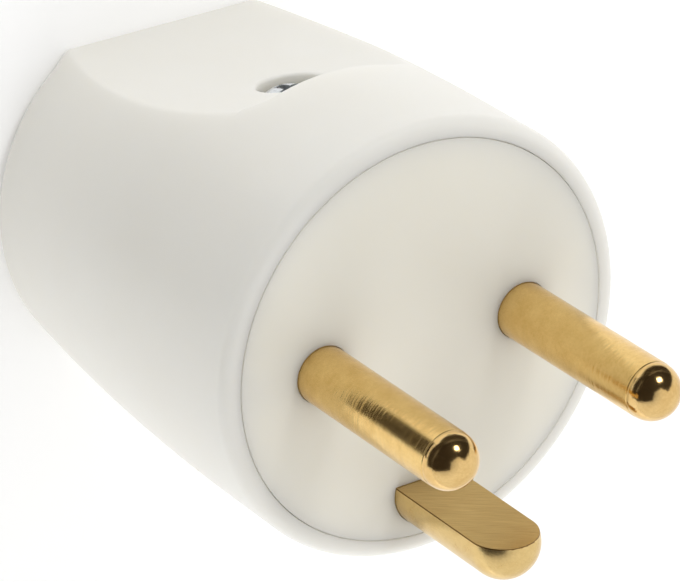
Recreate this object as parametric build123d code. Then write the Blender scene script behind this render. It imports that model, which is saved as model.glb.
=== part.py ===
from build123d import *
import os

# An earthed three-pin plug that is opened with a screwdriver to fit its own cord.
# Millimetres. The plug stands on its rear face with its pins up. The origin is the centre of
# the face that the pins stand on, +Z is up along the pins, and the earth pin is towards -Y.
# Each piece is drawn lying down, with its depth behind that face along +Y and the earth pin
# below, and is stood up at the end.

# Line pins: turned rods with a collar and a terminal pillar behind the face
pin_spacing = 19.0
pin_radius = 2.4
pin_length = 19.3
pin_shoulder = 0.1
pin_neck_step = 0.2
pin_neck_start = 0.1
collar_step = 1.5
collar_play = 0.05

# Earth pin: a round rod milled flat on the side that faces the line pins
earth_drop = 13.1
earth_radius = 3.0
earth_length = 13.6
earth_flat_height = 0.9
earth_collar_radius = 3.4
earth_terminal_rise = 3.3

# Terminals at the back of the pins, each with a wire hole and one screw
terminal_radius = 3.4
earth_terminal_radius = 3.2
terminal_end = 15.0
wire_hole_radius = 1.6
wire_hole_depth = 6.4
terminal_screw_from_end = 3.0
spot_face_depth = 0.3

# Shell: a moulded cup, open at the front, with a concave finger grip above and below
shell_radius = 18.75
rear_draw = 2.1
shell_length = 38.9
straight_length = 8.0
shell_wall = 2.2
rim_width = 1.66
rear_wall = 2.4
rim_round = 1.0
rear_round = 1.4
grip_front = 13.0
grip_radius = 79.4
grip_low_place = 35.3
grip_depth = 4.85
grip_corner_half_width = 9.0
grip_corner_radius = 3.8

# Cord entry in the middle of the rear wall
cord_hole_play = 0.1
cord_hole_round = 1.0
cord_collar_wall = 2.1
cord_collar_depth = 4.0

# Face plate: the disc that closes the shell and carries the pins
plate_thickness = 3.2
plate_gap = 0.12
pin_gap = 0.12
edge_break = 0.15
spacer_height = 1.8
spacer_wall = 1.5
shell_inner_gap = 0.3

# Key ribs in the shell that stop the insert from turning
key_width = 2.0
key_depth = 1.1
key_start = 1.2
key_end = 12.0
key_gap = 0.15

# Terminal block: clamped behind the face plate, it holds the pins' collars
block_thickness = 3.0
block_gap = 0.15
groove_floor = 0.4
tongue_thickness = 2.0
tongue_gap = 0.6
tongue_side = 2.4
barrier_side = 0.3
barrier_end = 15.5
fin_thickness = 1.6
fin_top = 8.0
tower_half_width = 4.2
tower_half_depth = 4.0
tower_leg = 1.9
tower_window_top = 3.4

# Block screws, which hold the block to the face plate
block_screw_x = 9.6
block_head_gap = 0.2
block_screw_radius = 1.3
block_screw_length = 6.5
block_boss_radius = 2.7

# Fixing screw in the recess of the upper grip, and its nut in the tower
fixing_from_step = 5.55
recess_radius = 2.85
recess_depth = 2.75
recess_floor_thickness = 1.5
recess_wall = 1.8
tower_gap = 0.1
fixing_nut_cover = 1.6
fixing_screw_end = 2.4

# Cord clamp: a saddle strap across the tongue, with two screws and two nuts
clamp_from_end = 1.0
clamp_width = 6.0
clamp_groove_radius = 4.2
clamp_screw_reach = 4.2
clamp_post_radius = 2.9
clamp_post_top = 0.8
strap_thickness = 2.0
strap_ear_reach = 3.0
strap_ear_round = 2.0
strap_rib_height = 0.5
strap_rib_width = 1.0
strap_screw_end = 1.3
nut_wall = 1.1
nut_cover = 0.3
nut_recess = 0.3

# Fasteners: metric size 3 screws and square nuts
screw_radius = 1.5
thread_gap = 0.03
hole_gap = 0.2
head_radius = 2.6
head_height = 2.0
head_round = 0.8
cross_length = 3.2
cross_width = 0.8
cross_depth = 1.2
terminal_head_radius = 2.3
terminal_head_height = 1.4
terminal_slot_width = 0.8
terminal_slot_depth = 0.7
nut_side = 5.5
nut_height = 1.8
nut_gap = 0.1
cut_margin = 1.0
edge_match = 0.001

# Places and sizes that follow from the ones above
half_spacing = pin_spacing / 2
pin_tip_radius = pin_radius - pin_shoulder
pin_neck_radius = pin_radius - pin_neck_step
collar_radius = pin_radius + collar_step
line_seat = terminal_radius - spot_face_depth
earth_seat = earth_terminal_radius - spot_face_depth
earth_terminal_z = -earth_drop + earth_terminal_rise
terminal_screw_y = terminal_end - terminal_screw_from_end

shell_rear_radius = shell_radius - rear_draw
inner_radius = shell_radius - shell_wall
bore_radius = shell_radius - rim_width
grip_low_height = shell_radius - grip_depth
key_inner_place = inner_radius - key_depth
cord_hole_radius = clamp_groove_radius + cord_hole_play
cord_collar_front = shell_length - rear_wall - cord_collar_depth

plate_radius = bore_radius - plate_gap
insert_radius = inner_radius - shell_inner_gap
block_front = plate_thickness + spacer_height
block_back = block_front + block_thickness

tongue_top = -clamp_groove_radius - groove_floor
tongue_bottom = tongue_top - tongue_thickness
tongue_end = cord_collar_front - tongue_gap
clamp_screw_x = clamp_groove_radius + clamp_screw_reach
tongue_half_width = clamp_screw_x + tongue_side
barrier_half_width = half_spacing + terminal_radius + barrier_side
block_screw_z = tongue_bottom - head_radius - block_head_gap

fixing_place = grip_front + fixing_from_step
fixing_to_low = grip_low_place - fixing_place
grip_at_fixing = grip_low_height + grip_radius - (grip_radius**2 - fixing_to_low**2) ** 0.5
recess_floor_height = grip_at_fixing - recess_depth
boss_bottom = recess_floor_height - recess_floor_thickness
tower_top = boss_bottom - tower_gap
fixing_nut_top = tower_top - fixing_nut_cover
fixing_screw_length = recess_floor_height - fixing_nut_top + nut_height + fixing_screw_end

clamp_place = tongue_end - clamp_from_end - clamp_width / 2
clamp_nut_top = tongue_bottom - nut_cover
strap_top = clamp_post_top + strap_thickness
strap_half_length = clamp_screw_x + strap_ear_reach
strap_screw_length = strap_top - clamp_nut_top + nut_height + strap_screw_end


def rod(radius, front, back, x=0.0, z=0.0):
    """A round bar along Y between two depths."""
    bar = Cylinder(radius, back - front, rotation=(-90, 0, 0))
    return Pos(x, (front + back) / 2, z) * bar


def post(radius, bottom, top, x=0.0, y=0.0):
    """A round bar along Z between two heights."""
    bar = Cylinder(radius, top - bottom)
    return Pos(x, y, (bottom + top) / 2) * bar


def block(x_low, x_high, y_low, y_high, z_low, z_high):
    """A rectangular block between two corners."""
    shape = Box(x_high - x_low, y_high - y_low, z_high - z_low)
    return Pos((x_low + x_high) / 2, (y_low + y_high) / 2, (z_low + z_high) / 2) * shape


def both_sides(shape):
    """A shape and its mirror image on the other side of the middle plane."""
    return shape + mirror(shape, Plane.YZ)


def circles(shape, depth, radius):
    """The round edges of one radius that lie at one depth behind the front face."""
    found = shape.edges().filter_by(GeomType.CIRCLE)
    found = found.filter_by(lambda edge: abs(edge.arc_center.Y - depth) < edge_match)
    return found.filter_by(lambda edge: abs(edge.radius - radius) < edge_match)


# The shell
def barrel(front_radius, back_radius):
    """The turned outline: straight at the front, then drawn in by one tangent arc."""
    side = Line((front_radius, 0), (front_radius, straight_length))
    curve = TangentArc((front_radius, straight_length), (back_radius, shell_length), tangent=(0, 1))
    back = Line((back_radius, shell_length), (0, shell_length))
    axis = Line((0, shell_length), (0, 0))
    front = Line((0, 0), (front_radius, 0))
    return revolve(make_face([side, curve, back, axis, front]), Axis.Y)


def grip_plan():
    """The grip seen from above: a straight front edge with rounded corners."""
    inner = grip_corner_half_width - grip_corner_radius
    corner = grip_front + grip_corner_radius
    far = 2 * shell_radius
    half = [
        Line((0, grip_front), (inner, grip_front)),
        TangentArc((inner, grip_front), (grip_corner_half_width, corner), tangent=(1, 0)),
        Line((grip_corner_half_width, corner), (shell_radius, corner + shell_radius / 2)),
        Line((shell_radius, corner + shell_radius / 2), (shell_radius, shell_length + far)),
        Line((shell_radius, shell_length + far), (0, shell_length + far)),
        Line((0, shell_length + far), (0, grip_front)),
    ]
    face = make_face(half)
    return face + mirror(face, Plane.YZ)


def grip_roll(radius):
    """A large roll across the body, whose underside is the concave grip."""
    roll = Cylinder(radius, 4 * shell_radius, rotation=(0, 90, 0))
    return Pos(0, grip_low_place, grip_low_height + grip_radius) * roll


def shell_envelope():
    """The outside of the shell as one solid."""
    body = barrel(shell_radius, shell_rear_radius)
    body = fillet(circles(body, 0, shell_radius), rim_round)
    body = fillet(circles(body, shell_length, shell_rear_radius), rear_round)
    cutter = grip_roll(grip_radius) & extrude(grip_plan(), 2 * shell_radius)
    return body - cutter - mirror(cutter, Plane.XY)


def shell_cavity():
    """The hollow inside, one wall thickness from the outside all round."""
    hollow = barrel(inner_radius, shell_rear_radius - shell_wall)
    reach = 2 * shell_radius
    keep = block(-reach, reach, -cut_margin, shell_length - rear_wall, -reach, reach)
    behind_step = block(-reach, reach, grip_front - shell_wall, reach + shell_length, 0, reach)
    flat = grip_roll(grip_radius + shell_wall) & behind_step
    return (hollow & keep) - flat - mirror(flat, Plane.XY)


def key_ribs(gap):
    """The two ribs, or with a gap the slots that they run in."""
    half = key_width / 2 + gap
    start = key_start - gap
    rib = block(key_inner_place - gap, inner_radius + shell_wall / 2, start, key_end + gap, -half, half)
    return both_sides(rib)


def shell():
    """The cup, with its ribs, its screw recess on a boss, and its cord hole in a collar."""
    outside = shell_envelope()
    body = outside - shell_cavity()
    body -= rod(bore_radius, -cut_margin, plate_thickness)
    body += key_ribs(0.0)
    boss = post(recess_radius + recess_wall, boss_bottom, shell_radius, y=fixing_place)
    body += boss & outside
    body -= post(recess_radius, recess_floor_height, 2 * shell_radius, y=fixing_place)
    body -= post(screw_radius + hole_gap, 0, shell_radius, y=fixing_place)
    body += rod(cord_hole_radius + cord_collar_wall, cord_collar_front, shell_length - rear_wall / 2)
    body -= rod(cord_hole_radius, cord_collar_front - cut_margin, shell_length + cut_margin)
    body = fillet(circles(body, shell_length, cord_hole_radius), cord_hole_round)
    return chamfer(circles(body, 0, bore_radius), edge_break)


# The pins
def terminal(radius, z):
    """The pillar behind the collar, with its wire hole and its flat seat for the screw head."""
    pillar = rod(radius, block_front - collar_play, terminal_end, z=z)
    pillar = chamfer(pillar.edges().sort_by(Axis.Y)[-1], edge_break)
    pillar -= rod(wire_hole_radius, terminal_end - wire_hole_depth, terminal_end + cut_margin, z=z)
    return pillar


def screw_seat(radius):
    """What is taken off a pillar for the screw that enters from above."""
    seat = radius - spot_face_depth
    cut = post(terminal_head_radius + hole_gap, seat, radius + cut_margin, y=terminal_screw_y)
    return cut + post(screw_radius + thread_gap, 0, radius, y=terminal_screw_y)


def line_pin(x):
    """A round pin with its tip, its neck in the face plate, its collar and its terminal."""
    tip_centre = -pin_length + pin_tip_radius
    tip = Pos(0, tip_centre, 0) * Sphere(pin_tip_radius)
    shank = rod(pin_radius, tip_centre, pin_neck_start)
    pin = tip + chamfer(shank.edges().sort_by(Axis.Y)[0], pin_shoulder)
    pin += rod(pin_neck_radius, 0, plate_thickness + spacer_height / 2)
    pin += rod(collar_radius, plate_thickness, block_front - collar_play)
    pin += terminal(terminal_radius, 0)
    pin -= screw_seat(terminal_radius)
    return Pos(x, 0, 0) * pin


def earth_section(front, back, gap):
    """The round bar with its flat, or with a gap the hole that it passes through."""
    bar = rod(earth_radius + gap, front, back, z=-earth_drop)
    flat = -earth_drop + earth_flat_height + gap
    return bar - block(-shell_radius, shell_radius, front - cut_margin, back + cut_margin, flat, 0)


def earth_pin():
    """The flat-sided pin, whose terminal sits nearer the middle than the pin does."""
    tip_centre = -earth_length + earth_radius
    tip = Pos(0, tip_centre, -earth_drop) * Sphere(earth_radius)
    flat = -earth_drop + earth_flat_height
    tip -= block(-shell_radius, shell_radius, -pin_length, cut_margin, flat, 0)
    pin = tip + earth_section(tip_centre, plate_thickness, 0.0)
    pin += earth_collar(0.0, plate_thickness, block_front - collar_play)
    pin += terminal(earth_terminal_radius, earth_terminal_z)
    seat = mirror(screw_seat(earth_terminal_radius), Plane.XY)
    return pin - Pos(0, 0, earth_terminal_z) * seat


def earth_collar(gap, front, back):
    """The collar that joins the pin to its terminal, which sits higher up."""
    low = -earth_drop + earth_flat_height
    radius = earth_collar_radius + gap
    link = block(-radius, radius, front, back, low, earth_terminal_z)
    return rod(radius, front, back, z=low) + rod(radius, front, back, z=earth_terminal_z) + link


# The face plate and the terminal block
def face_plate():
    """The disc with its pin holes, the ring behind it and the two screw bosses."""
    plate = rod(plate_radius, 0, plate_thickness)
    plate = chamfer(plate.edges().sort_by(Axis.Y)[0], edge_break)
    ring = rod(insert_radius, plate_thickness, block_front)
    ring -= rod(insert_radius - spacer_wall, plate_thickness - cut_margin, block_front + cut_margin)
    ring += both_sides(rod(block_boss_radius, 0, block_front, block_screw_x, block_screw_z))
    ring &= rod(insert_radius, 0, block_front)
    ring_back = block_front + cut_margin
    ring -= both_sides(rod(collar_radius + block_gap, plate_thickness, ring_back, half_spacing))
    ring -= earth_collar(block_gap, plate_thickness, ring_back)
    plate += ring
    thread = block_screw_radius + thread_gap
    depth = block_back - block_screw_length - hole_gap
    plate -= both_sides(rod(thread, depth, block_front + cut_margin, block_screw_x, block_screw_z))
    plate -= both_sides(rod(pin_radius + pin_gap, -cut_margin, plate_thickness + cut_margin, half_spacing))
    plate -= earth_section(-cut_margin, plate_thickness + cut_margin, pin_gap)
    return plate - key_ribs(key_gap)


def terminal_block():
    """The disc behind the collars, the tongue with the cord clamp and the nut's tower."""
    body = rod(insert_radius, block_front, block_back)
    for half, end in ((barrier_half_width, barrier_end), (tongue_half_width, tongue_end)):
        body += block(-half, half, block_front, end, tongue_bottom, tongue_top)
    tower_front = fixing_place - tower_half_depth
    tower_back = fixing_place + tower_half_depth
    fin = fin_thickness / 2
    body += block(-fin, fin, block_front, tower_front + cut_margin, tongue_top, fin_top)
    tower = block(-tower_half_width, tower_half_width, tower_front, tower_back, tongue_top, tower_top)
    window = tower_half_width - tower_leg
    window_front = tower_front + tower_leg
    tower -= block(-window, window, window_front, tower_back + cut_margin, tongue_top, tower_window_top)
    body += tower
    body += clamp_seat()
    body &= barrel(insert_radius, shell_rear_radius - shell_wall - shell_inner_gap)
    body -= clamp_cuts()
    body -= fixing_nut_slot()
    body -= both_sides(rod(terminal_radius + block_gap, 0, block_back + cut_margin, half_spacing))
    body -= rod(earth_terminal_radius + block_gap, 0, terminal_end + block_gap, z=earth_terminal_z)
    screw_hole = block_screw_radius + hole_gap
    body -= both_sides(rod(screw_hole, 0, block_back + cut_margin, block_screw_x, block_screw_z))
    return body - key_ribs(key_gap)


def fixing_nut_slot():
    """The slot that the nut slides into from behind, and the hole that the screw runs down."""
    half = nut_side / 2 + nut_gap
    bottom = fixing_nut_top - nut_height - nut_gap
    back = fixing_place + tower_half_depth + cut_margin
    slot = block(-half, half, fixing_place - half, back, bottom, fixing_nut_top)
    hole_bottom = recess_floor_height - fixing_screw_length - hole_gap
    return slot + post(screw_radius + hole_gap, hole_bottom, shell_radius, y=fixing_place)


def clamp_seat():
    """The cradle, the two posts beside it and the square nut bosses under the tongue."""
    front = clamp_place - clamp_width / 2
    back = clamp_place + clamp_width / 2
    cradle = block(-clamp_screw_x, clamp_screw_x, front, back, tongue_bottom, tongue_top + tongue_thickness)
    cradle += both_sides(post(clamp_post_radius, tongue_bottom, clamp_post_top, clamp_screw_x, clamp_place))
    half = nut_side / 2 + nut_wall
    boss = block(-half, half, -half, half, clamp_nut_top - nut_height - nut_recess, tongue_top)
    return cradle + both_sides(Pos(clamp_screw_x, clamp_place, 0) * boss)


def clamp_cuts():
    """The cord's groove in the cradle, and the screw holes with their nut pockets below."""
    groove = rod(clamp_groove_radius, clamp_place - clamp_width, clamp_place + clamp_width)
    half = nut_side / 2 + nut_gap
    pocket = block(-half, half, -half, half, -shell_radius, clamp_nut_top)
    pocket += post(screw_radius + hole_gap, -shell_radius, shell_radius)
    return groove + both_sides(Pos(clamp_screw_x, clamp_place, 0) * pocket)


def cord_strap():
    """The saddle: an arch over the cord, with a gripping rib inside and a flat ear each side."""
    front = clamp_place - clamp_width / 2
    back = clamp_place + clamp_width / 2
    ears = block(-strap_half_length, strap_half_length, front, back, clamp_post_top, strap_top)
    ears = fillet(ears.edges().filter_by(Axis.Z), strap_ear_round)
    arch = rod(clamp_groove_radius + strap_thickness, front, back)
    strap = ears + arch
    strap -= rod(clamp_groove_radius, front - cut_margin, back + cut_margin)
    rib = rod(clamp_groove_radius + strap_thickness / 2, clamp_place - strap_rib_width / 2,
              clamp_place + strap_rib_width / 2)
    rib -= rod(clamp_groove_radius - strap_rib_height, front, back)
    strap += rib
    reach = 2 * clamp_screw_x
    strap -= block(-reach, reach, front - cut_margin, back + cut_margin, -reach, clamp_post_top)
    hole = post(screw_radius + hole_gap, 0, strap_top + cut_margin, clamp_screw_x, clamp_place)
    return strap - both_sides(hole)


# The fasteners
def pan_screw(length, radius=screw_radius):
    """A pan head screw with a cross recess, head up, seated at height zero."""
    head = post(head_radius, 0, head_height)
    head = fillet(head.edges().sort_by(Axis.Z)[-1], head_round)
    floor = head_height - cross_depth
    arm = block(-cross_length / 2, cross_length / 2, -cross_width / 2, cross_width / 2, floor, head_height)
    head -= arm + Rot(0, 0, 90) * arm
    shank = post(radius, -length, 0)
    return head + chamfer(shank.edges().sort_by(Axis.Z)[0], edge_break * 2)


def terminal_screw(length):
    """A small cheese head screw with one slot, head up, seated at height zero."""
    head = post(terminal_head_radius, 0, terminal_head_height)
    head = chamfer(head.edges().sort_by(Axis.Z)[-1], edge_break)
    floor = terminal_head_height - terminal_slot_depth
    reach = terminal_head_radius + cut_margin
    half = terminal_slot_width / 2
    head -= block(-reach, reach, -half, half, floor, terminal_head_height + cut_margin)
    shank = post(screw_radius, -length, 0)
    return head + chamfer(shank.edges().sort_by(Axis.Z)[0], edge_break * 2)


def square_nut():
    """A thin square nut with its top face at height zero."""
    nut = block(-nut_side / 2, nut_side / 2, -nut_side / 2, nut_side / 2, -nut_height, 0)
    nut = chamfer(nut.edges().filter_by(Axis.Z), edge_break)
    return nut - post(screw_radius + thread_gap, -nut_height - cut_margin, cut_margin)


# Every piece in its place
upside_down = Rot(180, 0, 0)
facing_back = Rot(-90, 0, 0)

pieces = {
    "shell": shell(),
    "face_plate": face_plate(),
    "terminal_block": terminal_block(),
    "line_pin_left": line_pin(-half_spacing),
    "line_pin_right": line_pin(half_spacing),
    "earth_pin": earth_pin(),
    "terminal_screw_left": Pos(-half_spacing, terminal_screw_y, line_seat) * terminal_screw(line_seat),
    "terminal_screw_right": Pos(half_spacing, terminal_screw_y, line_seat) * terminal_screw(line_seat),
    "terminal_screw_earth": Pos(0, terminal_screw_y, earth_terminal_z - earth_seat)
    * upside_down * terminal_screw(earth_seat),
    "block_screw_left": Pos(-block_screw_x, block_back, block_screw_z)
    * facing_back * pan_screw(block_screw_length, block_screw_radius),
    "block_screw_right": Pos(block_screw_x, block_back, block_screw_z)
    * facing_back * pan_screw(block_screw_length, block_screw_radius),
    "cord_strap": cord_strap(),
    "strap_screw_left": Pos(-clamp_screw_x, clamp_place, strap_top) * pan_screw(strap_screw_length),
    "strap_screw_right": Pos(clamp_screw_x, clamp_place, strap_top) * pan_screw(strap_screw_length),
    "strap_nut_left": Pos(-clamp_screw_x, clamp_place, clamp_nut_top) * square_nut(),
    "strap_nut_right": Pos(clamp_screw_x, clamp_place, clamp_nut_top) * square_nut(),
    "fixing_screw": Pos(0, fixing_place, recess_floor_height) * pan_screw(fixing_screw_length),
    "fixing_nut": Pos(0, fixing_place, fixing_nut_top) * square_nut(),
}

stand_up = Rot(-90, 0, 0)
os.makedirs("parts", exist_ok=True)
for name, piece in pieces.items():
    export_step(stand_up * piece.solids()[0], f"parts/{name}.step")
    print(name, len(piece.solids()), round(piece.volume, 1))
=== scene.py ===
import math
import random

import bmesh
import bpy
from mathutils import Matrix, Vector


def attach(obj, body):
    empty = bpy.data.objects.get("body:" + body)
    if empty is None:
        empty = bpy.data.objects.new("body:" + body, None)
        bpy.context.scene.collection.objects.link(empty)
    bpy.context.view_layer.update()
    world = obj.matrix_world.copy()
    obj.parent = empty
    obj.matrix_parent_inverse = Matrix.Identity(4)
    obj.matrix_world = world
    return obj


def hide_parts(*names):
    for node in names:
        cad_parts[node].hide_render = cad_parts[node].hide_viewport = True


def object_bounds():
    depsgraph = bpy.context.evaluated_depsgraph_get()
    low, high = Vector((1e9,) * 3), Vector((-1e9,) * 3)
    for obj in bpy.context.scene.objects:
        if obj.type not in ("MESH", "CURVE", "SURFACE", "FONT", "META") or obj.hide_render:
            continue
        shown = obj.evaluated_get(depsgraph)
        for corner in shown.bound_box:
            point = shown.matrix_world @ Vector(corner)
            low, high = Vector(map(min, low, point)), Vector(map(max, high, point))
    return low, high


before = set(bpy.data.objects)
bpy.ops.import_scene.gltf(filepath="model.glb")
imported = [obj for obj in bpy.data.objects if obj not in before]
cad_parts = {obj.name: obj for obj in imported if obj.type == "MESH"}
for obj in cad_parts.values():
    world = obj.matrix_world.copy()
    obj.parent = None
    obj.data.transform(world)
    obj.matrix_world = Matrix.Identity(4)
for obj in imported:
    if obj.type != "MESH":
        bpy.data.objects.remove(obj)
cad_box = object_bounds()


# Shell. The real one is a deep round cup, injection moulded in off-white polyamide, with a
# hollowed finger grip on two opposite sides, a screw recess in one of them and a hole for the
# cord in the rear wall, which it stands on. Sizes are in millimetres, and a point is (across,
# depth behind the face, height towards the recess's grip) until the piece is stood up.
mm = 0.001
shell_radius = 18.75
shell_length = 38.9
shell_wall = 2.2
bore_radius = 17.09
bore_depth = 3.2
straight_length = 8.0
rear_draw = 2.1
rim_round = 1.0
lip_round = 0.1
rear_round = 1.4
grip_rear_round = 0.7
rear_round_fade = 1.5
grip_place = 35.3
grip_height_low = 13.9
grip_curve = 79.4
grip_front = 13.0
grip_corner_start = 5.2
grip_corner_radius = 3.8
grip_corner_reach = 2.4
grip_corner_fade = 8.0
grip_crease = 0.2
step_crest = 0.4
step_root = 0.3
cord_hole_radius = 4.3
cord_hole_round = 1.0
cord_collar_radius = 6.4
cord_collar_front = 32.5
rear_wall_inside = 36.5
small_round = 0.3
screw_place = 18.55
recess_radius = 2.85
recess_floor = 12.937
screw_hole_radius = 1.7
screw_hole_edge = 0.15
boss_radius = 4.65
boss_bottom = 11.437

# The part of the grip's net that the recess takes up: from, to, and how far out to the sides.
patch_front = 13.5
patch_back = 23.6
patch_share = 0.62

draw_curve = ((shell_length - straight_length) ** 2 + rear_draw**2) / (2 * rear_draw)


def barrel_radius(y, wall=0.0):
    """The turned side: straight at the front, then drawn in by one long arc."""
    if y <= straight_length:
        return shell_radius - wall
    fall = draw_curve - math.sqrt(draw_curve**2 - (y - straight_length) ** 2)
    return shell_radius - wall - fall


def grip_height(y, wall=0.0):
    """The height of the hollowed grip, which is straight from side to side."""
    reach = grip_curve + wall
    return grip_height_low + grip_curve - math.sqrt(reach**2 - (y - grip_place) ** 2)


def softer_of(first, second, soft):
    """The smaller of two distances, with the corner between them rounded over."""
    near = max(soft - abs(first - second), 0.0) / soft
    return min(first, second) - near * near * soft / 4


def ease(value):
    """A smooth rise from 0 to 1."""
    value = min(max(value, 0.0), 1.0)
    return value * value * (3 - 2 * value)


def grip_radius(y, angle, wall=0.0):
    """The distance from the middle line to the grip's plane, which is far off at the sides."""
    return grip_height(y, wall) / max(abs(math.cos(angle)), 0.05)


def side_radius(y, angle, wall=0.0):
    """The distance from the middle line to the side, where barrel and grip meet softly."""
    return softer_of(barrel_radius(y, wall), grip_radius(y, angle, wall), grip_crease)


def crease_angle(y, wall=0.0):
    """The angle from straight up at which the grip runs out into the barrel."""
    y = max(y, grip_front - wall)
    return math.acos(grip_height(y, wall) / barrel_radius(y, wall))


def step_place(angle, wall=0.0):
    """Where the grip starts: a straight front edge whose corners are rounded backwards."""
    if wall:
        return grip_front - wall
    side = abs(math.sin(angle)) * shell_radius
    inward = min(max(side - grip_corner_start, 0.0), grip_corner_reach)
    back = grip_corner_radius - math.sqrt(grip_corner_radius**2 - inward**2)
    return grip_front + back * (1 - ease((side - grip_corner_fade) / grip_corner_fade))


def corner(start, point, end, steps):
    """A round corner in (depth, radius) from start to end, drawn towards point."""
    weight = math.sqrt(0.5)
    made = []
    for step in range(steps + 1):
        t = step / steps
        parts = ((1 - t) ** 2, 2 * weight * t * (1 - t), t * t)
        total = sum(parts)
        drawn = [sum(p * q[axis] for p, q in zip(parts, (start, point, end))) for axis in (0, 1)]
        made.append((drawn[0] / total, drawn[1] / total))
    return made


def grip_step(angle, wall=0.0):
    """The step down into the grip, in (depth, radius). Its rounds shrink where it is low."""
    place = step_place(angle, wall)
    high = barrel_radius(place, wall)
    low = side_radius(place, angle, wall)
    share = min(max((high - low) / (1.3 * (step_crest + step_root)), 0.05), 1.0)
    crest, root = step_crest * share, step_root * share
    drop, rise = min(crest, 0.45 * (high - low)), min(root, 0.45 * (high - low))
    before = barrel_radius(place - crest, wall)
    after = side_radius(place + root, angle, wall)
    top = corner((place - crest, before), (place, high), (place, high - drop), 5)
    return top + corner((place, low + rise), (place, low), (place + root, after), 5)


def spread(start, end, count):
    """Evenly spaced values after start, up to and including end."""
    return [start + (end - start) * (i + 1) / count for i in range(count)]


def patch_rows(angle=0.0):
    """The net's rows past the screw recess, which start behind the step at any angle."""
    start = patch_front + step_place(angle) - grip_front
    return [start] + spread(start, patch_back, 14)


def shell_profile(angle):
    """One section through the wall as a closed line of (depth, radius, grip angle, in patch)."""
    front_crease = crease_angle(0.0)
    inner_crease = crease_angle(0.0, shell_wall)
    line = []

    def add(points, crease, wall=0.0, patch=False):
        for depth, radius in points:
            turn = crease if crease is not None else crease_angle(depth, wall)
            line.append((depth, radius, turn, patch))

    def add_rear(start, point, end, steps):
        add(corner(start, point, end, steps), rear_crease)

    lip = bore_radius + lip_round
    add([(bore_depth, bore_radius), (bore_depth / 2, bore_radius)], front_crease)
    add(corner((lip_round, bore_radius), (0, bore_radius), (0, lip), 4), front_crease)
    inner_rim = shell_radius - rim_round
    add([(0, (lip + inner_rim) / 2)], front_crease)
    add(corner((0, inner_rim), (0, shell_radius), (rim_round, shell_radius), 9), front_crease)
    step = grip_step(angle)
    for depth in spread(rim_round, step[0][0], 12)[:-1]:
        add([(depth, barrel_radius(depth))], front_crease)
    add(step, front_crease)
    add([(y, side_radius(y, angle)) for y in patch_rows(angle)], None, patch=True)
    run_out = ease((grip_radius(shell_length, angle) - shell_rear) / rear_round_fade)
    turn_in = grip_rear_round + (rear_round - grip_rear_round) * run_out
    for depth in spread(patch_back, shell_length - turn_in, 18)[:-1]:
        add([(depth, side_radius(depth, angle))], None)
    rear_crease = crease_angle(shell_length)
    edge = side_radius(shell_length, angle)
    before = (shell_length - turn_in, side_radius(shell_length - turn_in, angle))
    add_rear(before, (shell_length, edge), (shell_length, edge - turn_in), 8)
    mouth = cord_hole_radius + cord_hole_round
    for radius in spread(edge - turn_in, mouth, 8)[:-1]:
        add([(shell_length, radius)], rear_crease)
    hole = shell_length - cord_hole_round
    add_rear(
        (shell_length, mouth), (shell_length, cord_hole_radius), (hole, cord_hole_radius), 8
    )
    front = cord_collar_front
    add([((hole + front) / 2, cord_hole_radius)], rear_crease)
    collar = cord_collar_radius
    inner, outer = cord_hole_radius + small_round, collar - small_round
    add_rear((front + small_round, cord_hole_radius), (front, cord_hole_radius), (front, inner), 3)
    add_rear((front, outer), (front, collar), (front + small_round, collar), 3)
    back = rear_wall_inside
    foot = collar + small_round
    add_rear((back - small_round, collar), (back, collar), (back, foot), 3)
    inside = side_radius(back, angle, shell_wall)
    add([(back, (foot + inside) / 2)], rear_crease)
    after = side_radius(back - small_round, angle, shell_wall)
    add_rear((back, inside - small_round), (back, inside), (back - small_round, after), 3)
    for depth in spread(back - small_round, patch_back, 12)[:-1]:
        add([(depth, side_radius(depth, angle, shell_wall))], None, shell_wall)
    rows = [(y, side_radius(y, angle, shell_wall)) for y in reversed(patch_rows())]
    add(rows, None, shell_wall, True)
    add(reversed(grip_step(angle, shell_wall)), inner_crease)
    add([(6.0, shell_radius - shell_wall), (bore_depth, shell_radius - shell_wall)], inner_crease)
    return line


shell_rear = barrel_radius(shell_length)

# The net's columns over a quarter of the shell, which lie closer together near the crease.
grip_shares = [patch_share * i / 8 for i in range(9)]
grip_shares += [0.7, 0.78, 0.85, 0.91, 0.95, 0.975, 0.99, 1.0]
side_shares = [0.006, 0.014, 0.026, 0.045, 0.075] + spread(0.075, 1.0, 22)


def shell_angle(column, crease):
    """The angle of one column of the net, which keeps its place against the grip's border."""
    half, part, value = column
    turn = value * crease if part == "grip" else crease + value * (math.pi / 2 - crease)
    if half in (1, 2):
        turn = math.pi - turn
    return turn if half in (0, 1) else -turn


quarter = [("grip", value) for value in grip_shares] + [("side", value) for value in side_shares]
shell_columns = [(0, part, value) for part, value in quarter]
shell_columns += [(1, part, value) for part, value in reversed(quarter[:-1])]
shell_columns += [(2, part, value) for part, value in quarter[1:]]
shell_columns += [(3, part, value) for part, value in reversed(quarter[1:-1])]


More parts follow.
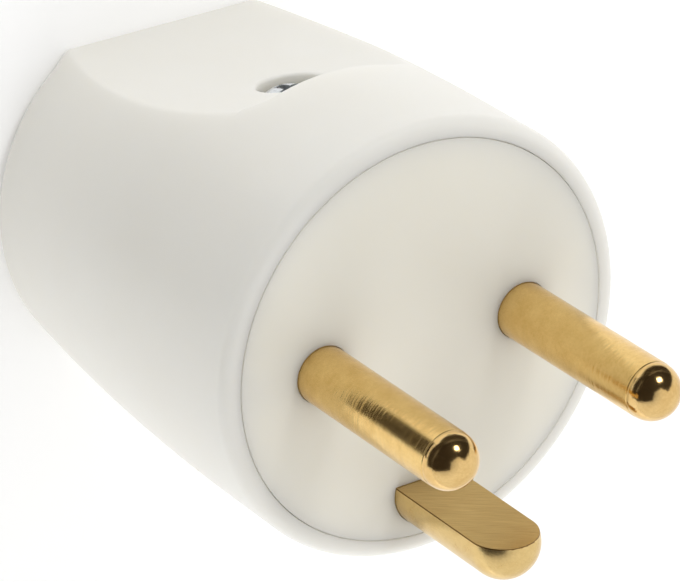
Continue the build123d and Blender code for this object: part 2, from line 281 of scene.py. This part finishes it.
def shell_net():
    """The corners and faces of the whole shell, outside and inside."""
    corners, faces = [], []
    rows = len(shell_profile(0.0))
    patches = [i for i, point in enumerate(shell_profile(0.0)) if point[3]]
    creases = [point[2] for point in shell_profile(0.0)]
    for column in shell_columns:
        section, last = [], None
        for row, crease in enumerate(creases):
            angle = shell_angle(column, crease)
            if angle != last:
                section, last = shell_profile(angle), angle
            depth, radius = section[row][:2]
            corners.append((radius * math.sin(angle), depth, radius * math.cos(angle)))
    count = len(shell_columns)
    reach = len([value for value in grip_shares if value <= patch_share + 1e-6]) - 1
    around = list(range(count - reach, count)) + list(range(reach + 1))
    in_patch = set(around[:-1])
    half = len(patches) // 2
    outer, inner = patches[:half], patches[half:][::-1]
    closed = set(outer[:-1]) | set(inner[1:])
    for column in range(count):
        following = (column + 1) % count
        for row in range(rows):
            if row in closed and column in in_patch:
                continue
            after = (row + 1) % rows
            near, far = column * rows, following * rows
            faces.append((near + row, far + row, far + after, near + after))

    def border(lines):
        first, last = lines[0], lines[-1]
        edge = [(column, first) for column in around]
        edge += [(around[-1], row) for row in lines[1:]]
        edge += [(column, last) for column in reversed(around[:-1])]
        edge += [(around[0], row) for row in reversed(lines[1:-1])]
        return [column * rows + row for column, row in edge]

    return corners, faces, border(outer), border(inner)


def recess_net(corners, faces, outer, inner):
    """The recess, the screw hole and the boss, as rings between two openings in the wall."""
    count = len(outer)
    last = list(outer)

    def bearings(edge):
        return [math.atan2(corners[k][1] - screw_place, corners[k][0]) for k in edge]

    def ring(points):
        nonlocal last
        fresh = list(range(len(corners), len(corners) + count))
        corners.extend(points)
        join(last, fresh)
        last = fresh

    def join(one, two):
        for k in range(count):
            after = (k + 1) % count
            faces.append((one[k], one[after], two[after], two[k]))

    def on_circle(seat, radius):
        return radius * math.cos(seat), screw_place + radius * math.sin(seat)

    def towards(edge, seat_list, radius, share, wall):
        points = []
        for k, seat in zip(edge, seat_list):
            x, y = on_circle(seat, radius)
            x = corners[k][0] + (x - corners[k][0]) * share
            y = corners[k][1] + (y - corners[k][1]) * share
            points.append((x, y, grip_height(y, wall)))
        return points

    seats = bearings(outer), bearings(inner)
    lip = recess_radius + small_round
    for share in (0.3, 0.6, 0.85, 1.0):
        ring(towards(outer, seats[0], lip, share, 0.0))
    for depth, radius in corner((0, lip), (0, recess_radius), (small_round, recess_radius), 5)[1:]:
        places = [on_circle(seat, radius) for seat in seats[0]]
        ring([(x, y, grip_height(y) - depth) for x, y in places])
    floor, hole, edge = recess_floor, screw_hole_radius, screw_hole_edge
    fall = [(floor + 1.2, recess_radius)]
    fall += corner(
        (floor + small_round, recess_radius),
        (floor, recess_radius),
        (floor, recess_radius - small_round),
        4,
    )
    fall += corner((floor, hole + edge), (floor, hole), (floor - edge, hole), 2)
    fall += corner((boss_bottom + edge, hole), (boss_bottom, hole), (boss_bottom, hole + edge), 2)
    fall += corner(
        (boss_bottom, boss_radius - small_round),
        (boss_bottom, boss_radius),
        (boss_bottom + small_round, boss_radius),
        3,
    )
    for height, radius in fall:
        ring([(*on_circle(seat, radius), height) for seat in seats[0]])
    foot = boss_radius + small_round
    for depth, radius in corner((small_round, boss_radius), (0, boss_radius), (0, foot), 3):
        places = [on_circle(seat, radius) for seat in seats[1]]
        ring([(x, y, grip_height(y, shell_wall) - depth) for x, y in places])
    ring(towards(inner, seats[1], foot, 0.5, shell_wall))
    join(last, inner)


def linear(code):
    """A colour written as sRGB hex, as the linear values that shaders take."""
    values = [int(code[i : i + 2], 16) / 255 for i in (1, 3, 5)]
    return [v / 12.92 if v <= 0.04045 else ((v + 0.055) / 1.055) ** 2.4 for v in values] + [1.0]


def add_node(tree, kind, settings=None, links=None):
    """Adds one shader node, with its properties and input values, and its incoming links."""
    node = tree.nodes.new(kind)
    for key, value in (settings or {}).items():
        if key in node.inputs:
            node.inputs[key].default_value = value
        else:
            setattr(node, key, value)
    for key, source in (links or {}).items():
        tree.links.new(source, node.inputs[key])
    return node


def new_material(name):
    """An empty material and its tree."""
    material = bpy.data.materials.new(name)
    material.use_nodes = True
    material.node_tree.nodes.clear()
    return material, material.node_tree


def stood_up(corners):
    """Points in metres with the plug on its rear wall and its pins up."""
    return [(across * mm, height * mm, -depth * mm) for across, depth, height in corners]


def solid(name, corners, faces, material):
    """A closed piece from its net of corners."""
    mesh = bpy.data.meshes.new(name)
    mesh.from_pydata(stood_up(corners), [], faces)
    net = bmesh.new()
    net.from_mesh(mesh)
    bmesh.ops.remove_doubles(net, verts=net.verts, dist=1e-7)
    bmesh.ops.recalc_face_normals(net, faces=net.faces)
    for face in net.faces:
        face.smooth = True
    net.to_mesh(mesh)
    net.free()
    mesh.materials.append(material)
    piece = bpy.data.objects.new(name, mesh)
    bpy.context.scene.collection.objects.link(piece)
    return piece


def fit(piece, slot, *nodes):
    """Puts a finished piece on the plug in place of its plain nodes."""
    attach(piece, "root")
    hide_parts(*nodes)


def noise(tree, size, detail, roughness):
    """Irregular patches about so many millimetres across, fixed to the piece."""
    place = add_node(tree, "ShaderNodeTexCoord")
    patches = add_node(
        tree,
        "ShaderNodeTexNoise",
        {"Scale": 1 / (size * mm), "Detail": detail, "Roughness": roughness},
        {"Vector": place.outputs["Object"]},
    )
    return patches.outputs["Fac"]


def two_colours(tree, first, second, share):
    """A mix of two colours. On this node, inputs 6 and 7 and output 2 are the colours."""
    mix = add_node(tree, "ShaderNodeMix", {"data_type": "RGBA"}, {"Factor": share})
    mix.inputs[6].default_value = linear(first)
    mix.inputs[7].default_value = linear(second)
    return mix.outputs[2]


def relief(tree, height, strength, depth):
    """Fine bumps and hollows, so many millimetres deep."""
    bumps = add_node(
        tree,
        "ShaderNodeBump",
        {"Strength": strength, "Distance": depth * mm},
        {"Height": height},
    )
    return bumps.outputs["Normal"]


def surface(tree, values, links=None):
    """Ends a material with one surface."""
    shader = add_node(tree, "ShaderNodeBsdfPrincipled", values, links)
    add_node(tree, "ShaderNodeOutputMaterial", {}, {"Surface": shader.outputs["BSDF"]})


def moulded_plastic(name, colour, shade, roughness):
    """Satin moulded plastic: even colour, faintly clouded, lit a little under its surface.

    The mould's spark-eroded grain is about 0.1 mm in reality. It is drawn at 0.25 mm, so that
    the picture can hold it.
    """
    material, tree = new_material(name)
    cloud = noise(tree, 9, 3.0, 0.5)
    grain = noise(tree, 0.25, 2.0, 0.6)
    surface(
        tree,
        {
            "Roughness": roughness,
            "IOR": 1.53,
            "Subsurface Weight": 0.6,
            "Subsurface Radius": (1.0, 0.95, 0.85),
            "Subsurface Scale": 3 * mm,
        },
        {
            "Base Color": two_colours(tree, colour, shade, cloud),
            "Normal": relief(tree, grain, 0.12, 0.01),
        },
    )
    return material


# Polyamide from a grained mould: an even off-white with a soft sheen and no sharp reflections.
shell_plastic = moulded_plastic("shell moulded polyamide", "#E9E7E0", "#E6E3DA", 0.42)
shell_corners, shell_faces, outer_edge, inner_edge = shell_net()
recess_net(shell_corners, shell_faces, outer_edge, inner_edge)
fit(solid("shell_moulding", shell_corners, shell_faces, shell_plastic), "shell_plastic", "shell")


# Face plate. The real one is a flat polyamide disc, moulded with a ring and two screw bosses
# behind it, of which the ring is drawn. It closes the shell flush with its rim, the pins pass
# through it, and two notches in its rim fit ribs inside the shell.
plate_radius = 17.04
plate_thickness = 3.2
plate_edge = 0.07
ring_outside = 16.25
ring_inside = 14.75
ring_depth = 5.0
pin_across = 9.5
pin_radius = 2.4
pin_fit = 0.05
earth_height = -13.1
earth_radius = 3.0
earth_flat = 0.9
key_half_width = 1.15
key_place = 15.3
key_depths = (1.05, 5.5)

# How far the holes' cutters stand out past the plate, its ring and its rim.
past_plate = (-1.0, 4.0)
past_ring = (-1.0, 6.0)
past_rim = 1.0


def turned(profile, across=0.0, height=0.0, around=96):
    """A lathe-turned solid about a line behind the face, from (depth, radius) pairs."""
    corners, faces = [], []
    for depth, radius in profile:
        for step in range(around):
            turn = 2 * math.pi * step / around
            x, z = radius * math.sin(turn), radius * math.cos(turn)
            corners.append((across + x, depth, height + z))
    for row in range(len(profile) - 1):
        for step in range(around):
            after = (step + 1) % around
            low, high = row * around, (row + 1) * around
            faces.append((low + step, low + after, high + after, high + step))
    return corners, faces


def upright(profile, across=0.0, depth=0.0, around=64):
    """A turned solid about a line through the body, from (height, radius) pairs."""
    corners, faces = turned(profile, around=around)
    return [(across + x, depth + z, y) for x, y, z in corners], faces


def bar(low, high):
    """A plain block between two corners."""
    xs, ys, zs = zip(low, high)
    corners = [(x, y, z) for x in xs for y in ys for z in zs]
    faces = [(0, 1, 3, 2), (4, 6, 7, 5), (0, 4, 5, 1), (2, 3, 7, 6), (0, 2, 6, 4), (1, 5, 7, 3)]
    return corners, faces


def carve(piece, tool):
    """Cuts a tool's shape out of a piece and drops the tool."""
    cutter = solid("tool", *tool, piece.data.materials[0])
    step = piece.modifiers.new("carve", "BOOLEAN")
    step.operation = "DIFFERENCE"
    step.solver = "EXACT"
    step.object = cutter
    cut = piece.evaluated_get(bpy.context.evaluated_depsgraph_get())
    carved = bpy.data.meshes.new_from_object(cut)
    piece.modifiers.clear()
    piece.data = carved
    bpy.data.objects.remove(cutter)


def crisp(piece, angle=35.0):
    """Keeps flats flat and sharp edges sharp in the light."""
    net = bmesh.new()
    net.from_mesh(piece.data)
    bmesh.ops.dissolve_degenerate(net, edges=net.edges, dist=2e-7)
    for edge in net.edges:
        edge.smooth = edge.calc_face_angle(0.0) < math.radians(angle)
    net.to_mesh(piece.data)
    net.free()
    flats = piece.modifiers.new("flats", "WEIGHTED_NORMAL")
    flats.keep_sharp = True


def half_round(depth, radius, spare=0.0, arc=56, flat=40):
    """The earth pin's section at one depth: round, with a flat on the line pins' side.

    Its points lie closer together near the flat's edges, and near the tip the flat runs out.
    """
    level = earth_flat + spare
    lift = math.asin(min(level / max(radius, 1e-6), 0.97))
    points = []
    for step in range(arc):
        share = step / arc
        share -= 0.03 * math.sin(4 * math.pi * share)
        turn = lift - share * (math.pi + 2 * lift)
        points.append((radius * math.cos(turn), depth, earth_height + radius * math.sin(turn)))
    reach = radius * math.cos(lift)
    for step in range(flat):
        across = -reach + 2 * reach * step / flat
        rise = min(level, math.sqrt(max(radius**2 - across**2, 0.0)))
        points.append((across, depth, earth_height + rise))
    return points


def skin(rings):
    """The net over a row of rings with the same number of points."""
    count = len(rings[0])
    corners = [point for ring in rings for point in ring]
    faces = []
    for row in range(len(rings) - 1):
        low, high = row * count, (row + 1) * count
        for step in range(count):
            after = (step + 1) % count
            faces.append((low + step, low + after, high + after, high + step))
    return corners, faces


def capped(rings):
    """The same rings, each end closed to a point."""

    def middle(ring):
        centre = [sum(point[axis] for point in ring) / len(ring) for axis in range(3)]
        return [tuple(centre)] * len(ring)

    return [middle(rings[0])] + rings + [middle(rings[-1])]


# The same polyamide, a warmer batch from a finer mould: slightly yellower and smoother.
face_plastic = moulded_plastic("face moulded polyamide", "#EEEBE0", "#EBE7DA", 0.4)
disc = [(0, 0), (0, plate_radius - 4 * plate_edge), (0, plate_radius - plate_edge)]
disc += corner((0, plate_radius - plate_edge), (0, plate_radius), (plate_edge, plate_radius), 4)[1:]
disc += [(plate_thickness, plate_radius), (plate_thickness, ring_outside)]
disc += [(ring_depth, ring_outside), (ring_depth, ring_inside)]
disc += [(plate_thickness, ring_inside), (plate_thickness, 0)]
face_plate = solid("face_disc", *turned(disc, around=180), face_plastic)
for side in (-1, 1):
    hole = [(depth, pin_radius + pin_fit) for depth in past_plate]
    hole = [(past_plate[0], 0)] + hole + [(past_plate[1], 0)]
    carve(face_plate, turned(hole, side * pin_across, around=74))
    key = sorted((side * key_place, side * (plate_radius + past_rim)))
    low = (key[0], key_depths[0], -key_half_width)
    carve(face_plate, bar(low, (key[1], key_depths[1], key_half_width)))
opening = [half_round(depth, earth_radius + pin_fit, pin_fit) for depth in past_ring]
carve(face_plate, skin(capped(opening)))
crisp(face_plate)
fit(face_plate, "face_plastic", "face_plate")


# Line pins. Turned from free-cutting brass rod: a polished dome, one fine step, then a shank
# that keeps the tool's rings. Behind the face, a collar holds each pin in the plate, and a
# drilled pillar takes the wire and its clamp screw.
pin_length = 19.3
dome_radius = 2.37
neck_radius = 2.2
collar_radius = 3.9
collar_depths = (3.2, 4.95)
pillar_radius = 3.4
pillar_end = 15.0
wire_hole_radius = 1.6
wire_hole_end = 8.6
clamp_screw_depth = 12.0
screw_seat_radius = 2.5
screw_thread_radius = 1.53
seat_height = 3.1
clamp_hole_top = 5.0

# The lathe's rings are a little deeper than real ones, so that they show. Each one takes some
# of its depth from the ring before it.
tool_feed = 0.07
tool_mark = 0.0045
tool_habit = 0.55


def span(tree, share, low, high):
    """A value that goes from low to high with a share from another node."""
    value = add_node(tree, "ShaderNodeMapRange", {"To Min": low, "To Max": high}, {"Value": share})
    return value.outputs["Result"]


def stretched(tree, share, low, high):
    """A share whose part between low and high is stretched to run from 0 to 1."""
    value = add_node(
        tree, "ShaderNodeMapRange", {"From Min": low, "From Max": high}, {"Value": share}
    )
    return value.outputs["Result"]


def turned_brass(name, colour, dark, roughness, haze, grain=0.0):
    """Turned brass: warm metal, clouded by handling, whose tool rings blur what it mirrors."""
    material, tree = new_material(name)
    cloud = noise(tree, 1.6, 5.0, 0.65)
    specks = noise(tree, 0.22, 3.0, 0.7)
    wear = add_node(
        tree,
        "ShaderNodeMix",
        {"Factor": 0.55},
        {"A": stretched(tree, cloud, 0.38, 0.8), "B": specks},
    )
    worn = wear.outputs["Result"]
    round_axis = add_node(tree, "ShaderNodeTangent", {"direction_type": "RADIAL", "axis": "Z"})
    surface(
        tree,
        {"Metallic": 1.0, "Anisotropic": grain},
        {
            "Base Color": two_colours(tree, colour, dark, worn),
            "Roughness": span(tree, worn, roughness, roughness + haze),
            "Normal": relief(tree, specks, 0.4, 0.02),
            "Tangent": round_axis.outputs[0],
        },
    )
    return material


def terminal_profile(radius):
    """The pillar behind the collar: a broken edge, then the wire hole from behind."""
    edge = 0.15
    return [
        (pillar_end - edge, radius),
        (pillar_end, radius - edge),
        (pillar_end, wire_hole_radius + edge),
        (pillar_end - edge, wire_hole_radius),
        (wire_hole_end, wire_hole_radius),
        (wire_hole_end, 0),
    ]


def line_pin_profile(marks):
    """One line pin from the tip of its dome to the bottom of its wire hole."""
    centre = dome_radius - pin_length
    steps = 20
    line = []
    for step in range(steps + 1):
        turn = math.pi / 2 * step / steps
        line.append((centre - dome_radius * math.cos(turn), dome_radius * math.sin(turn)))
    # One fine step where the dome's tool stopped, then a ring for each turn of the lathe.
    line += [(centre + 0.04, dome_radius - 0.012), (centre + 0.09, pin_radius - 0.015)]
    depth = centre + 0.16
    mark = 0.0
    while depth < 0.2:
        mark = tool_habit * mark + marks.uniform(-tool_mark, tool_mark)
        line.append((depth, pin_radius + mark - tool_mark))
        depth += tool_feed
    front, back = collar_depths
    line += [(0.3, pin_radius), (0.5, neck_radius), (front, neck_radius)]
    line += [(front, collar_radius), (back, collar_radius), (back, pillar_radius)]
    return line + terminal_profile(pillar_radius)


def clamp_hole(seat):
    """A clamp screw's hole in (height, radius): threaded, then wider above its seat."""
    hole = [(0, 0), (0, screw_thread_radius), (seat, screw_thread_radius)]
    hole += [(seat, screw_seat_radius), (clamp_hole_top, screw_seat_radius)]
    return hole + [(clamp_hole_top, 0)]


# Brass as it leaves the lathe: pale gold whose reflections are drawn out across the rings.
pin_brass = turned_brass("turned brass", "#F6D590", "#D0A458", 0.2, 0.07, 0.5)
# The domes are burnished: darker gold, and they mirror the room quite sharply.
tip_brass = turned_brass("polished brass", "#EFCE90", "#CCA25C", 0.12, 0.06)
for side, name in ((-1, "line_pin_left"), (1, "line_pin_right")):
    marks = random.Random(40 + side)
    pin = solid(name + "_turned", *turned(line_pin_profile(marks), side * pin_across), pin_brass)
    carve(pin, upright(clamp_hole(seat_height), side * pin_across, clamp_screw_depth, 48))
    pin.data.materials.append(tip_brass)
    for face in pin.data.polygons:
        if face.center.z > (pin_length - dome_radius) * mm:
            face.material_index = 1
    fit(pin, "pin_brass", name)


# Earth pin. A heavier drawn brass rod with the side towards the line pins milled flat, made in
# one with its own collar and drilled terminal. It is duller, with the cutter's slanting lines
# on the flat and a thin dark brown band along the flat's edges.
earth_length = 13.6
earth_terminal_height = -9.8
earth_pillar_radius = 3.2
earth_collar_radius = 3.4
earth_seat_height = 2.9
earth_feed = 0.1
dome_rings = 56
mill_pitch = 0.34
mill_mark = 0.003
mill_across = (0.62, 0.78)
mill_slant = 0.67
flat_edge_width = 0.085


def milled_brass(name, colour, dark, roughness):
    """Milled brass: the cutter leaves fine slanting lines, some bright and some dull.

    The lines are drawn 0.08 mm apart and 2.6 mm long. Real ones are closer together.
    """
    material, tree = new_material(name)
    place = add_node(tree, "ShaderNodeTexCoord")
    along = add_node(
        tree,
        "ShaderNodeMapping",
        {
            "vector_type": "TEXTURE",
            "Rotation": (0, -mill_slant, 0),
            "Scale": (2.6 * mm, 1.2 * mm, 0.08 * mm),
        },
        {"Vector": place.outputs["Object"]},
    )
    streaks = add_node(
        tree,
        "ShaderNodeTexNoise",
        {"Scale": 1.0, "Detail": 3.0, "Roughness": 0.6},
        {"Vector": along.outputs["Vector"]},
    )
    lines = streaks.outputs["Fac"]
    surface(
        tree,
        {"Metallic": 1.0, "Roughness": roughness},
        {
            "Base Color": two_colours(tree, colour, dark, stretched(tree, lines, 0.3, 0.7)),
            "Normal": relief(tree, lines, 0.5, 0.01),
        },
    )
    return material


# Drawn rod is a shade duller than the turned pins, and less stretched in what it mirrors. The
# milled flat is plain and satin. A thin band along the flat's edges is coloured dark brown.
earth_brass = turned_brass("drawn brass", "#EACE92", "#CCA966", 0.24, 0.06, 0.4)
flat_brass = milled_brass("milled brass", "#E6C98A", "#C8A66A", 0.26)
# A plain dark brown colour for a thin band along the flat's edges; the shape has no burr there.
flat_edge_brass = turned_brass("dark brown flat edge", "#8E6C3C", "#6A4C26", 0.4, 0.1)


def oval(depth, radius, low, high, arc=56, flat=40):
    """A section round two centres, one above the other, in step with the pin's section."""
    lift = 0.3
    points = []
    for step in range(arc + flat):
        if step < arc:
            turn = lift - step / arc * (math.pi + 2 * lift)
        else:
            turn = math.pi - lift - (step - arc) / flat * (math.pi - 2 * lift)
        centre = high if math.sin(turn) > 0 else low
        points.append((radius * math.cos(turn), depth, centre + radius * math.sin(turn)))
    return points


def earth_rings():
    """The earth pin's sections, from the tip of its dome to the bottom of its wire hole."""
    centre = earth_radius - earth_length
    rings = []
    marks = random.Random(7)
    for step in range(dome_rings + 1):
        turn = max(math.pi / 2 * step / dome_rings, 1e-4)
        reach = earth_radius - marks.uniform(0, 0.8 * tool_mark)
        rings.append(half_round(centre - reach * math.cos(turn), reach * math.sin(turn)))
    depth = centre + earth_feed
    while depth < 0.0:
        rings.append(half_round(depth, earth_radius - marks.uniform(0, tool_mark)))
        depth += earth_feed
    rings = [[milled(point) for point in ring] for ring in rings]
    rings.append(half_round(collar_depths[0], earth_radius))
    low = earth_height + earth_flat
    for depth in collar_depths:
        rings.append(oval(depth, earth_collar_radius, low, earth_terminal_height))
    top = earth_terminal_height
    rings.append(oval(collar_depths[1], earth_pillar_radius, top, top))
    for depth, radius in terminal_profile(earth_pillar_radius):
        rings.append(oval(depth, max(radius, 1e-4), top, top))
    return rings


def milled(point):
    """Presses the cutter's slanting lines into the flat, as two waves that drift apart."""
    across, depth, height = point
    if height < earth_height + earth_flat - 1e-4:
        return point
    line = (mill_across[0] * across + mill_across[1] * depth) / mill_pitch
    wave = math.sin(2 * math.pi * line) + 0.6 * math.sin(2 * math.pi * line * 1.73 + 1.1)
    return (across, depth, height - mill_mark * (1 + wave) / 2)


earth_pin = solid("earth_pin_milled", *skin(capped(earth_rings())), earth_brass)
hole = [(earth_terminal_height - rise, radius) for rise, radius in clamp_hole(earth_seat_height)]
carve(earth_pin, upright(hole, 0.0, clamp_screw_depth, 48))
crisp(earth_pin)
earth_pin.data.materials.append(flat_brass)
earth_pin.data.materials.append(flat_edge_brass)
# The faces just below the flat's edges take the dark brown colour, and the flat takes the milled
# brass.
for face in earth_pin.data.polygons:
    below = earth_height + earth_flat - face.center.y / mm
    if face.center.z > 0 and below < flat_edge_width:
        face.material_index = 2 if below > mill_mark + 0.001 else 1
fit(earth_pin, "pin_brass", "earth_pin")


# Terminal block and cord strap. The real ones are polyamide mouldings inside the shell: the
# block is screwed behind the face plate and holds the terminals, and the strap is screwed
# across it to clamp the cord. They keep the shape they have in the frame.

# Polyamide from a plain mould: duller and greyer than what is seen outside.
insert_plastic = moulded_plastic("insert moulded polyamide", "#E4E1D6", "#DFDCCF", 0.5)
for name in ("terminal_block", "cord_strap"):
    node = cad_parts[name]
    node.data.materials.clear()
    node.data.materials.append(insert_plastic)


# Screws and nuts. The real ones are cold-headed steel, zinc plated and clear passivated. The
# fixing screw, which sits on the floor of the grip's recess and holds the shell to the block,
# is the only one that shows, so it alone gets a domed head with a cross recess.
head_radius = 2.6
head_height = 2.25
head_side = 0.7
head_edge = 0.1
crown_steps = 10
crown_fullness = 0.8
shank_radius = 1.5
shank_chamfer = 0.3
fixing_screw_length = 7.4
cross_turn = 0.35

# The cross recess at its bottom and top: height above the floor, half length and half width.
cross_bottom = (0.75, 0.7, 0.28)
cross_top = (head_height + 0.3, 1.75, 0.48)


def zinc_plate(colour, shade, roughness):
    """Zinc plating: a bright cool grey whose fine crystals mirror more and less sharply."""
    material, tree = new_material("zinc plated steel")
    crystals = noise(tree, 0.4, 4.0, 0.7)
    surface(
        tree,
        {"Metallic": 1.0},
        {
            "Base Color": two_colours(tree, colour, shade, crystals),
            "Roughness": span(tree, crystals, roughness - 0.08, roughness + 0.08),
            "Normal": relief(tree, crystals, 0.3, 0.01),
        },
    )
    return material


# Clear passivation leaves the zinc almost white, with a cool tinge and a soft, broken shine.
zinc_steel = zinc_plate("#E3E6E8", "#D0D4D8", 0.28)
for name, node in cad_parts.items():
    if "screw" in name or "nut" in name:
        node.data.materials.clear()
        node.data.materials.append(zinc_steel)

profile = []
for step in range(crown_steps + 1):
    turn = math.pi / 2 * step / crown_steps
    rise = head_side + (head_height - head_side) * math.cos(turn)
    profile.append((recess_floor + rise, head_radius * math.sin(turn) ** crown_fullness))
profile += [(recess_floor + head_edge, head_radius), (recess_floor, head_radius - head_edge)]
end = recess_floor - fixing_screw_length
profile += [(recess_floor, shank_radius), (end + shank_chamfer, shank_radius)]
profile += [(end, shank_radius - shank_chamfer), (end, 0)]
fixing_screw = solid("fixing_screw_head", *upright(profile, 0.0, screw_place), zinc_steel)
for turn in (cross_turn, cross_turn + math.pi / 2):
    arm = []
    for rise, length, width in (cross_bottom, cross_top):
        for one, other in ((-1, -1), (1, -1), (1, 1), (-1, 1)):
            along, beside = one * length, other * width
            x = along * math.cos(turn) - beside * math.sin(turn)
            y = along * math.sin(turn) + beside * math.cos(turn)
            arm.append((x, screw_place + y, recess_floor + rise))
    faces = [(3, 2, 1, 0), (4, 5, 6, 7), (0, 1, 5, 4), (1, 2, 6, 5), (2, 3, 7, 6), (3, 0, 4, 7)]
    carve(fixing_screw, (arm, faces))
crisp(fixing_screw)
fit(fixing_screw, "zinc_steel", "fixing_screw")


# Floor, light and camera. A white table top, one soft key lamp, a weak fill lamp that mirrors
# don't show, a pale room that is darker behind the camera, dark paper for the brass to mirror,
# and a long lens.
table_half = 3.0


def table_top_white():
    """A plain white table top, lit a little from below, as a light table is."""
    material, tree = new_material("white table top")
    surface(
        tree,
        {
            "Base Color": linear("#FFFFFF"),
            "Roughness": 0.9,
            "Specular IOR Level": 0.1,
            "Emission Color": linear("#FFFFFF"),
            "Emission Strength": 0.12,
        },
    )
    return material


def board(name, corners, material):
    """A flat board that isn't part of the plug."""
    mesh = bpy.data.meshes.new(name)
    mesh.from_pydata(corners, [], [(0, 1, 2, 3)])
    mesh.materials.append(material)
    made = bpy.data.objects.new(name, mesh)
    bpy.context.scene.collection.objects.link(made)
    return made


floor_height = cad_box[0].z
table_corners = [
    (x * table_half, y * table_half, floor_height) for x, y in ((-1, -1), (1, -1), (1, 1), (-1, 1))
]
board("table_top", table_corners, table_top_white())


def soft_lamp(name, place, size, power):
    """A square soft box that faces the plug."""
    data = bpy.data.lights.new(name, "AREA")
    data.shape = "SQUARE"
    data.size = size
    data.energy = power
    lamp = bpy.data.objects.new(name, data)
    lamp.location = place
    lamp.rotation_euler = Vector(place).to_track_quat("Z", "Y").to_euler()
    bpy.context.scene.collection.objects.link(lamp)
    return lamp


# The lamps' places, sizes and powers were matched to the photograph's highlights and tones.
soft_lamp("key_lamp", (0.12, 0.42, 0.25), 0.12, 0.43)
fill_lamp = soft_lamp("fill_lamp", (-0.12, -0.45, 0.1), 0.3, 0.6)
fill_lamp.visible_glossy = False

# Sheets of dark paper, flat on the table and upright behind the lamp, give the polished brass
# its dark lines and the dark upper half of its domes. Only mirrors show them.
dark_paper, paper_tree = new_material("dark paper")
surface(paper_tree, {"Base Color": linear("#2A2119"), "Roughness": 0.9})


def sheet(name, corners):
    """A sheet of dark paper that only mirrors show."""
    paper = board(name, corners, dark_paper)
    paper.visible_camera = paper.visible_diffuse = paper.visible_shadow = False


def aside(far, degrees, height):
    """A point at some distance from the plug, in a direction round it."""
    turn = math.radians(degrees)
    return far * math.cos(turn), far * math.sin(turn), height


# Each sheet runs from a near to a far edge, in metres, between two directions in degrees.
on_table = floor_height + mm
paper_reach = 0.9
wall_top = 1.5
for name, near, far, start, end in (
    ("dark_flag", 0.03, 0.09, 123, 177),
    ("dark_table", 0.13, paper_reach, 20, 110),
    ("dark_table_side", 0.14, paper_reach, 110, 195),
):
    edges = ((near, start), (far, start), (far, end), (near, end))
    sheet(name, [aside(away, degrees, on_table) for away, degrees in edges])
for name, start, end in (
    ("dark_wall_right", 20, 80),
    ("dark_wall", 80, 140),
    ("dark_wall_left", 140, 200),
):
    edges = ((start, on_table), (end, on_table), (end, wall_top), (start, wall_top))
    sheet(name, [aside(paper_reach, degrees, height) for degrees, height in edges])

# The room is pale all round and fades to a dim patch behind the camera.
behind_camera = (-0.755, 0.352, 0.553)
pale, dim = 1.0, 0.05
patch_narrowness = 4.0
room = bpy.data.worlds.new("pale room")
bpy.context.scene.world = room
room.use_nodes = True
sky = room.node_tree
way = add_node(sky, "ShaderNodeTexCoord")
facing = add_node(
    sky,
    "ShaderNodeVectorMath",
    {"operation": "DOT_PRODUCT"},
    {0: way.outputs["Generated"]},
)
facing.inputs[1].default_value = behind_camera
front = add_node(sky, "ShaderNodeMath", {"operation": "MAXIMUM"}, {0: facing.outputs["Value"]})
front.inputs[1].default_value = 0.0
fall_off = add_node(sky, "ShaderNodeMath", {"operation": "POWER"}, {0: front.outputs[0]})
fall_off.inputs[1].default_value = patch_narrowness
level = span(sky, fall_off.outputs[0], pale, dim)
sky.nodes["Background"].inputs["Color"].default_value = linear("#FFFFFF")
sky.links.new(level, sky.nodes["Background"].inputs["Strength"])

bpy.context.scene.view_settings.view_transform = "Standard"

# The camera's place and directions were worked out from the photograph together with the sizes.
focal_points = 4500
picture_points = 680
film_width = 36.0
camera_place = Vector((-177.5162, 161.2168, 260.4558)) * mm
look_back = Vector((-0.488859, 0.444959, 0.750352))
picture_right = Vector((0.832566, -0.018859, 0.553605))
picture_up = Vector((0.260482, 0.895353, -0.361238))
lens = bpy.data.cameras.new("long_lens")
lens.sensor_width = film_width
lens.lens = focal_points / picture_points * film_width
lens.clip_start = 0.01
camera = bpy.data.objects.new("long_lens", lens)
turned_to = Matrix((picture_right, picture_up, look_back)).transposed().to_4x4()
camera.matrix_world = Matrix.Translation(camera_place) @ turned_to
bpy.context.scene.collection.objects.link(camera)
bpy.context.scene.camera = camera
